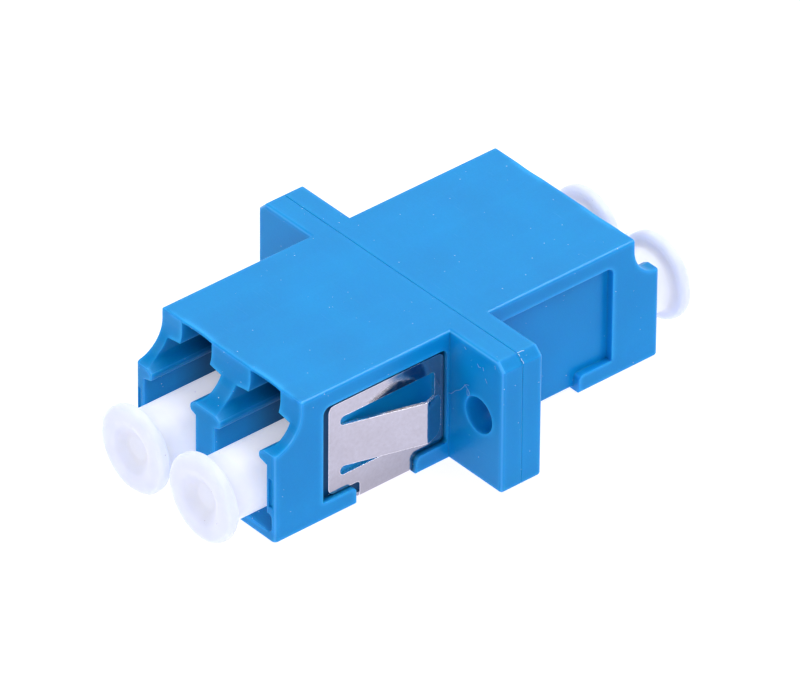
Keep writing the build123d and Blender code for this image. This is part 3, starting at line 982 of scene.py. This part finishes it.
def flecks_tree():
    """Geometry Nodes: strews flat flecks over a surface, each turned and sized at random."""
    inputs = {"Flecks Per Square Millimetre": "Float", "Smallest": "Float", "Largest": "Float"}
    tree = new_geometry_tree("flecks", "Surface", inputs, "Flecks")
    given = add_node(tree, "NodeGroupInput").outputs
    density = add_node(
        tree, "ShaderNodeMath", {0: given["Flecks Per Square Millimetre"], 1: MM**2}, operation="DIVIDE"
    )
    points = add_node(
        tree,
        "GeometryNodeDistributePointsOnFaces",
        {"Mesh": given["Surface"], "Density": density.outputs[0], "Seed": given["Seed"]},
    )
    fleck = add_node(tree, "GeometryNodeMeshIcoSphere", {"Radius": 1.0, "Subdivisions": 1})
    across = random_value(tree, given["Smallest"], given["Largest"], given["Seed"], 1)
    along = random_value(tree, given["Smallest"], given["Largest"], given["Seed"], 2)
    thick = add_node(tree, "ShaderNodeMath", {0: given["Smallest"], 1: 0.5}, operation="MULTIPLY")
    size = add_node(tree, "ShaderNodeCombineXYZ", {"X": across, "Y": along, "Z": thick.outputs[0]})
    spin = random_value(tree, 0.0, 2 * math.pi, given["Seed"], 3)
    about_normal = add_node(tree, "FunctionNodeAxisAngleToRotation", {"Angle": spin})
    turned = add_node(
        tree,
        "FunctionNodeRotateRotation",
        {"Rotation": points.outputs["Rotation"], "Rotate By": about_normal.outputs[0]},
        rotation_space="LOCAL",
    )
    placed = add_node(
        tree,
        "GeometryNodeInstanceOnPoints",
        {
            "Points": points.outputs["Points"],
            "Instance": fleck.outputs["Mesh"],
            "Rotation": turned.outputs[0],
            "Scale": size.outputs[0],
        },
    )
    return finish_geometry_tree(tree, placed, given["Material"])


def burr_tree():
    """Geometry Nodes: sets torn grains along the edges, inside a box, that turn by more than an angle."""
    inputs = {
        "Edge Angle": "Float",
        "Low Corner": "Vector",
        "High Corner": "Vector",
        "Spacing": "Float",
        "Smallest": "Float",
        "Largest": "Float",
    }
    tree = new_geometry_tree("burr", "Sheet", inputs, "Burr")
    given = add_node(tree, "NodeGroupInput").outputs
    merged = add_node(
        tree, "GeometryNodeMergeByDistance", {"Geometry": given["Sheet"], "Distance": SAME_POINT * MM}
    )
    angle = add_node(tree, "GeometryNodeInputMeshEdgeAngle")
    sharp = add_node(
        tree,
        "FunctionNodeCompare",
        {0: angle.outputs["Unsigned Angle"], 1: given["Edge Angle"]},
        data_type="FLOAT",
        operation="GREATER_THAN",
    )
    here = add_node(tree, "GeometryNodeInputPosition").outputs[0]
    clamped = add_node(
        tree, "ShaderNodeVectorMath", {0: here, 1: given["Low Corner"]}, operation="MAXIMUM"
    )
    held = add_node(
        tree, "ShaderNodeVectorMath", {0: clamped.outputs[0], 1: given["High Corner"]}, operation="MINIMUM"
    )
    moved = add_node(tree, "ShaderNodeVectorMath", {0: held.outputs[0], 1: here}, operation="DISTANCE")
    inside = add_node(
        tree,
        "FunctionNodeCompare",
        {0: moved.outputs["Value"], 1: 2 * SAME_POINT * MM},
        data_type="FLOAT",
        operation="LESS_THAN",
    )
    chosen = add_node(
        tree, "FunctionNodeBooleanMath", {0: sharp.outputs[0], 1: inside.outputs[0]}, operation="AND"
    )
    edges = add_node(
        tree, "GeometryNodeMeshToCurve", {"Mesh": merged.outputs[0], "Selection": chosen.outputs[0]}
    )
    points = add_node(
        tree,
        "GeometryNodeCurveToPoints",
        {"Curve": edges.outputs[0], "Length": given["Spacing"]},
        mode="LENGTH",
    )
    grain = add_node(tree, "GeometryNodeMeshIcoSphere", {"Radius": 1.0, "Subdivisions": 1})
    long = random_value(tree, given["Smallest"], given["Largest"], given["Seed"], 1)
    stretched = add_node(tree, "ShaderNodeMath", {0: long, 1: BURR_STRETCH}, operation="MULTIPLY")
    thick = random_value(tree, given["Smallest"], given["Largest"], given["Seed"], 2)
    size = add_node(tree, "ShaderNodeCombineXYZ", {"X": thick, "Y": thick, "Z": stretched.outputs[0]})
    placed = add_node(
        tree,
        "GeometryNodeInstanceOnPoints",
        {
            "Points": points.outputs["Points"],
            "Instance": grain.outputs["Mesh"],
            "Rotation": points.outputs["Rotation"],
            "Scale": size.outputs[0],
        },
    )
    return finish_geometry_tree(tree, placed, given["Material"])


def fibre_tree():
    """Geometry Nodes: a thin round fibre along each path, wavering about it."""
    tree = new_geometry_tree("fibre", "Paths", {"Radius": "Float", "Waver": "Float"}, "Fibre")
    given = add_node(tree, "NodeGroupInput").outputs
    fine = add_node(
        tree, "GeometryNodeResampleCurve", {"Curve": given["Paths"], "Length": 0.05 * MM}, mode="LENGTH"
    )
    here = add_node(tree, "GeometryNodeInputPosition").outputs[0]
    noise = add_node(
        tree,
        "ShaderNodeTexNoise",
        {"Vector": here, "W": given["Seed"], "Scale": scale_of(0.4), "Detail": 1.0},
        noise_dimensions="4D",
    )
    both_ways = add_node(
        tree, "ShaderNodeVectorMath", {0: noise.outputs["Color"], 1: (0.5, 0.5, 0.5)}, operation="SUBTRACT"
    )
    shift = add_node(
        tree, "ShaderNodeVectorMath", {0: both_ways.outputs[0], "Scale": given["Waver"]}, operation="SCALE"
    )
    wavered = add_node(
        tree, "GeometryNodeSetPosition", {"Geometry": fine.outputs[0], "Offset": shift.outputs[0]}
    )
    ring = add_node(tree, "GeometryNodeCurvePrimitiveCircle", {"Resolution": 6, "Radius": given["Radius"]})
    tube = add_node(
        tree,
        "GeometryNodeCurveToMesh",
        {"Curve": wavered.outputs[0], "Profile Curve": ring.outputs[0], "Fill Caps": True},
    )
    return finish_geometry_tree(tree, tube, given["Material"])


def mark_rounds(node):
    """Marks a solid's faces that are part of an outward round, going by how their corner normals spread."""
    mesh = node.data
    marks = mesh.attributes.new(ROUND_MARK, "FLOAT", "FACE")
    for face in mesh.polygons:
        corners = [
            (mesh.vertices[mesh.loops[i].vertex_index].co, mesh.corner_normals[i].vector)
            for i in face.loop_indices
        ]
        spread = 0.0
        for (start, from_normal), (end, to_normal) in zip(corners, corners[1:] + corners[:1]):
            side = end - start
            spread = max(spread, (to_normal - from_normal).dot(side) / side.length_squared)
        marks.data[face.index].value = 1.0 if spread > 1 / (WIDEST_ROUND * MM) else 0.0


def copy_of(piece, name):
    """A separate object with the piece's mesh, to run a tree on."""
    holder = bpy.data.objects.new(name, piece.data.copy())
    bpy.context.scene.collection.objects.link(holder)
    return holder


def laid_on(piece, body, material):
    shade(piece, sharp_over=60)
    piece.data.materials.clear()
    piece.data.materials.append(material)
    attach(piece, body)


def strew(source, name, tree, material, values, body):
    """Flecks or burr over one piece, as a mesh of their own."""
    piece = made_by_nodes(name, copy_of(source, f"{name}_source"), tree, {**values, "Material": material})
    laid_on(piece, body, material)


def lint_fibre(tree, material):
    """The stray fibre that clings to the flange's front face, and the short bits round it."""
    paths = [
        [(across, -FLANGE_HALF_THICKNESS - off, height + LINT_LIFT) for across, height, off in path]
        for path in LINT_PATHS
    ]
    holder = curve_through("lint_paths", "NURBS", paths)
    for spline in holder.data.splines:
        spline.use_endpoint_u = True
        spline.order_u = 3
    values = {"Radius": LINT_RADIUS * MM, "Waver": LINT_WAVER * MM, "Seed": 5, "Material": material}
    piece = made_by_nodes("lint_fibre", holder, tree, values)
    laid_on(piece, "housing", material)


def seam_flash(tree, material):
    """White flash torn along the edges of the flange's corner, where the two halves meet."""
    holder = curve_through("flash_paths", "POLY", FLASH_PATHS)
    values = {"Radius": FLASH_RADIUS * MM, "Waver": FLASH_WAVER * MM, "Seed": 2, "Material": material}
    piece = made_by_nodes("seam_flash", holder, tree, values)
    laid_on(piece, "housing", material)


def set_the_stage():
    """A white floor under the part, lit from within like a light table, so that shadows on it stay faint."""
    bpy.ops.mesh.primitive_plane_add(size=FLOOR_SIZE, location=(0, 0, FLOOR_HEIGHT))
    floor = bpy.context.object
    floor.name = "floor"
    material, tree = new_material("white_light_table")
    white = add_node(tree, "ShaderNodeBsdfDiffuse", {"Color": (0.25, 0.25, 0.26, 1)})
    glow = add_node(tree, "ShaderNodeEmission", {"Color": (0.88, 0.866, 1, 1), "Strength": 1.03})
    both = add_node(tree, "ShaderNodeAddShader", {0: white.outputs[0], 1: glow.outputs[0]})
    add_node(tree, "ShaderNodeOutputMaterial", {"Surface": both.outputs[0]})
    floor.data.materials.append(material)


def softbox(name, direction, distance, width, radiance):
    """A square softbox that faces the part from a direction, in metres."""
    data = bpy.data.lights.new(name, "AREA")
    data.size = width
    data.energy = radiance * math.pi * width**2
    lamp = bpy.data.objects.new(name, data)
    bpy.context.scene.collection.objects.link(lamp)
    lamp.location = Vector(direction).normalized() * distance
    lamp.rotation_euler = (-Vector(direction)).to_track_quat("-Z", "Y").to_euler()


def light_the_studio():
    """A dim white tent, and softboxes overhead, at the back left, at the front left and beside the camera."""
    world = bpy.data.worlds.new("white_tent")
    world.use_nodes = True
    world.node_tree.nodes.clear()
    tent = add_node(world.node_tree, "ShaderNodeBackground", {"Color": (0.88, 0.87, 1, 1), "Strength": 0.4})
    add_node(world.node_tree, "ShaderNodeOutputWorld", {"Surface": tent.outputs[0]})
    bpy.context.scene.world = world
    for name, settings in SOFTBOXES.items():
        softbox(name, **settings)


def camera_rows():
    """The camera's right, up and backward directions."""
    azimuth, elevation, roll = (math.radians(a) for a in (CAMERA_AZIMUTH, CAMERA_ELEVATION, CAMERA_ROLL))
    back = Vector(
        (
            math.sin(azimuth) * math.cos(elevation),
            -math.cos(azimuth) * math.cos(elevation),
            math.sin(elevation),
        )
    )
    level = Vector((math.cos(azimuth), math.sin(azimuth), 0))
    right = Matrix.Rotation(roll, 3, back) @ level
    return right, back.cross(right), back


def set_the_camera():
    """The photograph's viewpoint, found by fitting a camera to the corners of the part."""
    data = bpy.data.cameras.new("camera")
    data.lens = CAMERA_LENS
    camera = bpy.data.objects.new("camera", data)
    bpy.context.scene.collection.objects.link(camera)
    right, up, back = camera_rows()
    stand = Matrix.Translation((Vector(CAMERA_AIM) + back * CAMERA_DISTANCE) * MM)
    camera.matrix_world = stand @ Matrix((right, up, back)).transposed().to_4x4()
    bpy.context.scene.camera = camera


blue = moulded_blue_plastic()
milky = milky_polyethylene()
steel = rolled_stainless_steel()
ceramic = ground_zirconia()
torn = torn_steel()
dust = loose_bits("pale_plastic_dust", "#D8ECFA", share=0.8)
lint = loose_bits("grey_lint", "#9FC3EA", share=0.8)
speck = loose_bits("brown_speck", "#8A5A60", share=0.8)

for half in ("housing_front", "housing_rear"):
    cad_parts[half].material_slots[0].material = blue
    mark_rounds(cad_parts[half])
for hand in ("left", "right"):
    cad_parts[f"alignment_sleeve_{hand}"].material_slots[0].material = ceramic

lathe = lathe_tree()
caps = {
    f"{port_end}_{hand}": dust_cap(hand, port_end, lathe, milky)
    for port_end in ("front", "rear")
    for hand in ("left", "right")
}

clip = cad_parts["panel_clip"]
clip.material_slots[0].material = steel

strew(
    clip,
    "panel_clip_burr",
    burr_tree(),
    torn,
    {
        "Edge Angle": BURR_EDGE_ANGLE,
        "Low Corner": [part * MM for part in BURR_LOW_CORNER],
        "High Corner": [part * MM for part in BURR_HIGH_CORNER],
        "Spacing": 0.24 * MM,
        "Smallest": 0.005 * MM,
        "Largest": 0.021 * MM,
        "Seed": 11,
    },
    "housing",
)

flecks = flecks_tree()
for half, seed in (("housing_front", 3), ("housing_rear", 8)):
    strew(
        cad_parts[half],
        f"{half}_dust",
        flecks,
        dust,
        {
            "Flecks Per Square Millimetre": 0.22,
            "Smallest": 0.006 * MM,
            "Largest": 0.042 * MM,
            "Seed": seed,
        },
        "housing",
    )
for name, cap in caps.items():
    strew(
        cap,
        f"dust_cap_{name}_specks",
        flecks,
        speck,
        {
            "Flecks Per Square Millimetre": 0.07,
            "Smallest": 0.012 * MM,
            "Largest": 0.03 * MM,
            "Seed": CAP_TURNS[name],
        },
        f"cap_{name}",
    )

fibre = fibre_tree()
lint_fibre(fibre, lint)
seam_flash(fibre, dust)

set_the_stage()
light_the_studio()
set_the_camera()
bpy.context.scene.view_settings.view_transform = "Standard"
bpy.context.scene.view_settings.gamma = 0.88
